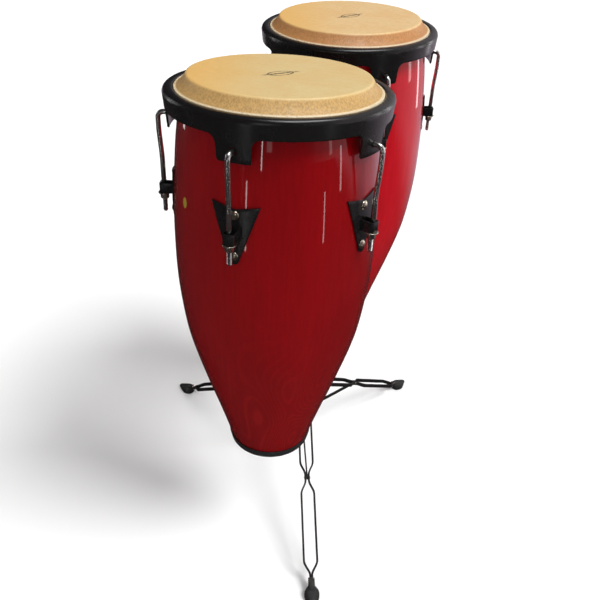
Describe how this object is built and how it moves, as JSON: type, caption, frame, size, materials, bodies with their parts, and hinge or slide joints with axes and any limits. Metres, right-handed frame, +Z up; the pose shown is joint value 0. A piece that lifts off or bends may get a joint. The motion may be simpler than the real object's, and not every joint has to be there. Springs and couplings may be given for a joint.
{
  "type": "conga pair on stand",
  "caption": "Two tall barrel hand drums with hide heads, curved rims and tension hooks, hung side by side on a folding tripod stand.",
  "frame": {"origin": "middle of the whole assembly in plan, on the floor", "axes": "+Z up, +X from the front drum to the back drum, +Y to the left of that line seen from above"},
  "size_m": [0.819, 0.626, 1.051],
  "materials": {
    "shell_lacquer": "high-gloss deep red lacquer over a faint figured wood grain",
    "hide": "natural translucent rawhide, satin, mottled tan",
    "hoop_steel": "plain drawn steel",
    "rim_enamel": "satin black powder coat with soft highlights",
    "stand_enamel": "black enamel on flat steel bar",
    "chrome_plate": "bright plated steel",
    "black_rubber": "matte moulded black rubber"
  },
  "bodies": {
    "stand_base": {"lower_tube": "stand_enamel", "height_clamp": "stand_enamel", "leg_hub": "stand_enamel"},
    "lower_collar": {"lower_collar": "stand_enamel"},
    "mast": {"upper_tube": "chrome_plate"},
    "yoke": {"yoke": "stand_enamel"},
    "height_bolt": {"height_bolt": "chrome_plate"},
    "leg_1": {"leg_1": "stand_enamel", "foot_1": "black_rubber"},
    "brace_1": {"brace_1": "stand_enamel"},
    "leg_2": {"leg_2": "stand_enamel", "foot_2": "black_rubber"},
    "brace_2": {"brace_2": "stand_enamel"},
    "leg_3": {"leg_3": "stand_enamel", "foot_3": "black_rubber"},
    "brace_3": {"brace_3": "stand_enamel"},
    "front_drum": {"front_shell": "shell_lacquer", "front_base_ring": "black_rubber", "front_mount_bracket": "rim_enamel", "front_side_plate_1": "rim_enamel", "front_side_plate_2": "rim_enamel", "front_side_plate_3": "rim_enamel", "front_side_plate_4": "rim_enamel", "front_side_plate_5": "rim_enamel"},
    "front_head": {"front_rim": "rim_enamel", "front_drumhead": "hide", "front_flesh_hoop": "hoop_steel", "front_hook_1": "chrome_plate", "front_hook_2": "chrome_plate", "front_hook_3": "chrome_plate", "front_hook_4": "chrome_plate", "front_hook_5": "chrome_plate"},
    "front_nut_1": {"front_nut_1": "chrome_plate"},
    "front_nut_2": {"front_nut_2": "chrome_plate"},
    "front_nut_3": {"front_nut_3": "chrome_plate"},
    "front_nut_4": {"front_nut_4": "chrome_plate"},
    "front_nut_5": {"front_nut_5": "chrome_plate"},
    "front_lock_bolt": {"front_lock_bolt": "chrome_plate"},
    "back_drum": {"back_shell": "shell_lacquer", "back_base_ring": "black_rubber", "back_mount_bracket": "rim_enamel", "back_side_plate_1": "rim_enamel", "back_side_plate_2": "rim_enamel", "back_side_plate_3": "rim_enamel", "back_side_plate_4": "rim_enamel", "back_side_plate_5": "rim_enamel"},
    "back_head": {"back_rim": "rim_enamel", "back_drumhead": "hide", "back_flesh_hoop": "hoop_steel", "back_hook_1": "chrome_plate", "back_hook_2": "chrome_plate", "back_hook_3": "chrome_plate", "back_hook_4": "chrome_plate", "back_hook_5": "chrome_plate"},
    "back_nut_1": {"back_nut_1": "chrome_plate"},
    "back_nut_2": {"back_nut_2": "chrome_plate"},
    "back_nut_3": {"back_nut_3": "chrome_plate"},
    "back_nut_4": {"back_nut_4": "chrome_plate"},
    "back_nut_5": {"back_nut_5": "chrome_plate"},
    "back_lock_bolt": {"back_lock_bolt": "chrome_plate"}
  },
  "joints": [
    {"name": "tripod_fold", "type": "hinge", "parent": "stand_base", "child": "leg_1", "pos_m": [-0.02775, -0.11464, 0.2353], "axis": [0.3762, -0.9265, 0], "range_deg": [0, 57]},
    {"name": "brace_1_fold", "type": "hinge", "parent": "leg_1", "child": "brace_1", "pos_m": [-0.18157, -0.1771, 0.13438], "axis": [0.3762, -0.9265, 0], "range_deg": [0, 28.51]},
    {"name": "leg_2_fold", "type": "hinge", "parent": "stand_base", "child": "leg_2", "pos_m": [0.02642, -0.11765, 0.2353], "axis": [0.4764, 0.8792, 0], "range_deg": [0, 57]},
    {"name": "brace_2_fold", "type": "hinge", "parent": "leg_2", "child": "brace_2", "pos_m": [0.17239, -0.19674, 0.13438], "axis": [0.4764, 0.8792, 0], "range_deg": [0, 28.51]},
    {"name": "leg_3_fold", "type": "hinge", "parent": "stand_base", "child": "leg_3", "pos_m": [0.00899, -0.07472, 0.2353], "axis": [-0.9545, 0.2982, 0], "range_deg": [0, 57]},
    {"name": "brace_3_fold", "type": "hinge", "parent": "leg_3", "child": "brace_3", "pos_m": [0.0585, 0.08374, 0.13438], "axis": [-0.9545, 0.2982, 0], "range_deg": [0, 28.51]},
    {"name": "collar_slide", "type": "slide", "parent": "stand_base", "child": "lower_collar", "axis": [0, 0, 1], "range_m": [0, 0.04704]},
    {"name": "mast_height", "type": "slide", "parent": "stand_base", "child": "mast", "axis": [0, 0, 1], "range_m": [-0.08, 0.12]},
    {"name": "yoke_turn", "type": "hinge", "parent": "mast", "child": "yoke", "pos_m": [0.00005, -0.10336, 0], "axis": [0, 0, 1], "continuous": true},
    {"name": "height_bolt_turn", "type": "hinge", "parent": "stand_base", "child": "height_bolt", "pos_m": [0.00005, -0.11646, 0.57415], "axis": [0, -1, 0], "continuous": true},
    {"name": "front_drum_swivel", "type": "hinge", "parent": "yoke", "child": "front_drum", "pos_m": [-0.02995, -0.10336, 0.7573], "axis": [0, 0, 1], "range_deg": [-15, 15]},
    {"name": "front_head_tension", "type": "slide", "parent": "front_drum", "child": "front_head", "axis": [0.0375, 0, 0.9993], "range_m": [0, 0.01]},
    {"name": "front_nut_1_turn", "type": "hinge", "parent": "front_drum", "child": "front_nut_1", "pos_m": [-0.06437, -0.21644, 0.81998], "axis": [0.0375, 0, 0.9993], "range_deg": [0, 2880.5]},
    {"name": "front_nut_2_turn", "type": "hinge", "parent": "front_drum", "child": "front_nut_2", "pos_m": [-0.0594, 0.00287, 0.81979], "axis": [0.0375, 0, 0.9993], "range_deg": [0, 2880.5]},
    {"name": "front_nut_3_turn", "type": "hinge", "parent": "front_drum", "child": "front_nut_3", "pos_m": [-0.26629, 0.07537, 0.82756], "axis": [0.0375, 0, 0.9993], "range_deg": [0, 2880.5]},
    {"name": "front_nut_4_turn", "type": "hinge", "parent": "front_drum", "child": "front_nut_4", "pos_m": [-0.39912, -0.09913, 0.83254], "axis": [0.0375, 0, 0.9993], "range_deg": [0, 2880.5]},
    {"name": "front_nut_5_turn", "type": "hinge", "parent": "front_drum", "child": "front_nut_5", "pos_m": [-0.27433, -0.27947, 0.82786], "axis": [0.0375, 0, 0.9993], "range_deg": [0, 2880.5]},
    {"name": "front_lock_bolt_turn", "type": "hinge", "parent": "front_drum", "child": "front_lock_bolt", "pos_m": [-0.02995, -0.10976, 0.7853], "axis": [0, -1, 0], "continuous": true},
    {"name": "back_drum_swivel", "type": "hinge", "parent": "yoke", "child": "back_drum", "pos_m": [0.03005, -0.10336, 0.7711], "axis": [0, 0, 1], "range_deg": [-15, 15]},
    {"name": "back_head_tension", "type": "slide", "parent": "back_drum", "child": "back_head", "axis": [-0.0375, 0, 0.9993], "range_m": [0, 0.01]},
    {"name": "back_nut_1_turn", "type": "hinge", "parent": "back_drum", "child": "back_nut_1", "pos_m": [0.05785, 0.00045, 0.83353], "axis": [-0.0375, 0, 0.9993], "range_deg": [0, 2880.5]},
    {"name": "back_nut_2_turn", "type": "hinge", "parent": "back_drum", "child": "back_nut_2", "pos_m": [0.06626, -0.21875, 0.83384], "axis": [-0.0375, 0, 0.9993], "range_deg": [0, 2880.5]},
    {"name": "back_nut_3_turn", "type": "hinge", "parent": "back_drum", "child": "back_nut_3", "pos_m": [0.27719, -0.27848, 0.84176], "axis": [-0.0375, 0, 0.9993], "range_deg": [0, 2880.5]},
    {"name": "back_nut_4_turn", "type": "hinge", "parent": "back_drum", "child": "back_nut_4", "pos_m": [0.39913, -0.0962, 0.84634], "axis": [-0.0375, 0, 0.9993], "range_deg": [0, 2880.5]},
    {"name": "back_nut_5_turn", "type": "hinge", "parent": "back_drum", "child": "back_nut_5", "pos_m": [0.26357, 0.07619, 0.84125], "axis": [-0.0375, 0, 0.9993], "range_deg": [0, 2880.5]},
    {"name": "back_lock_bolt_turn", "type": "hinge", "parent": "back_drum", "child": "back_lock_bolt", "pos_m": [0.03005, -0.09696, 0.7991], "axis": [0, 1, 0], "continuous": true}
  ],
  "couplings": [
    {"joint": "brace_1_fold", "follows": "tripod_fold", "ratio": 0.49995},
    {"joint": "leg_2_fold", "follows": "tripod_fold", "ratio": 1},
    {"joint": "brace_2_fold", "follows": "tripod_fold", "ratio": 0.49995},
    {"joint": "leg_3_fold", "follows": "tripod_fold", "ratio": 1},
    {"joint": "brace_3_fold", "follows": "tripod_fold", "ratio": 0.49995},
    {"joint": "collar_slide", "follows": "tripod_fold", "m_per_rad": 0.047278},
    {"joint": "front_nut_1_turn", "follows": "front_head_tension", "rad_per_m": 5026.5},
    {"joint": "front_nut_2_turn", "follows": "front_head_tension", "rad_per_m": 5026.5},
    {"joint": "front_nut_3_turn", "follows": "front_head_tension", "rad_per_m": 5026.5},
    {"joint": "front_nut_4_turn", "follows": "front_head_tension", "rad_per_m": 5026.5},
    {"joint": "front_nut_5_turn", "follows": "front_head_tension", "rad_per_m": 5026.5},
    {"joint": "back_nut_1_turn", "follows": "back_head_tension", "rad_per_m": 5026.5},
    {"joint": "back_nut_2_turn", "follows": "back_head_tension", "rad_per_m": 5026.5},
    {"joint": "back_nut_3_turn", "follows": "back_head_tension", "rad_per_m": 5026.5},
    {"joint": "back_nut_4_turn", "follows": "back_head_tension", "rad_per_m": 5026.5},
    {"joint": "back_nut_5_turn", "follows": "back_head_tension", "rad_per_m": 5026.5}
  ]
}
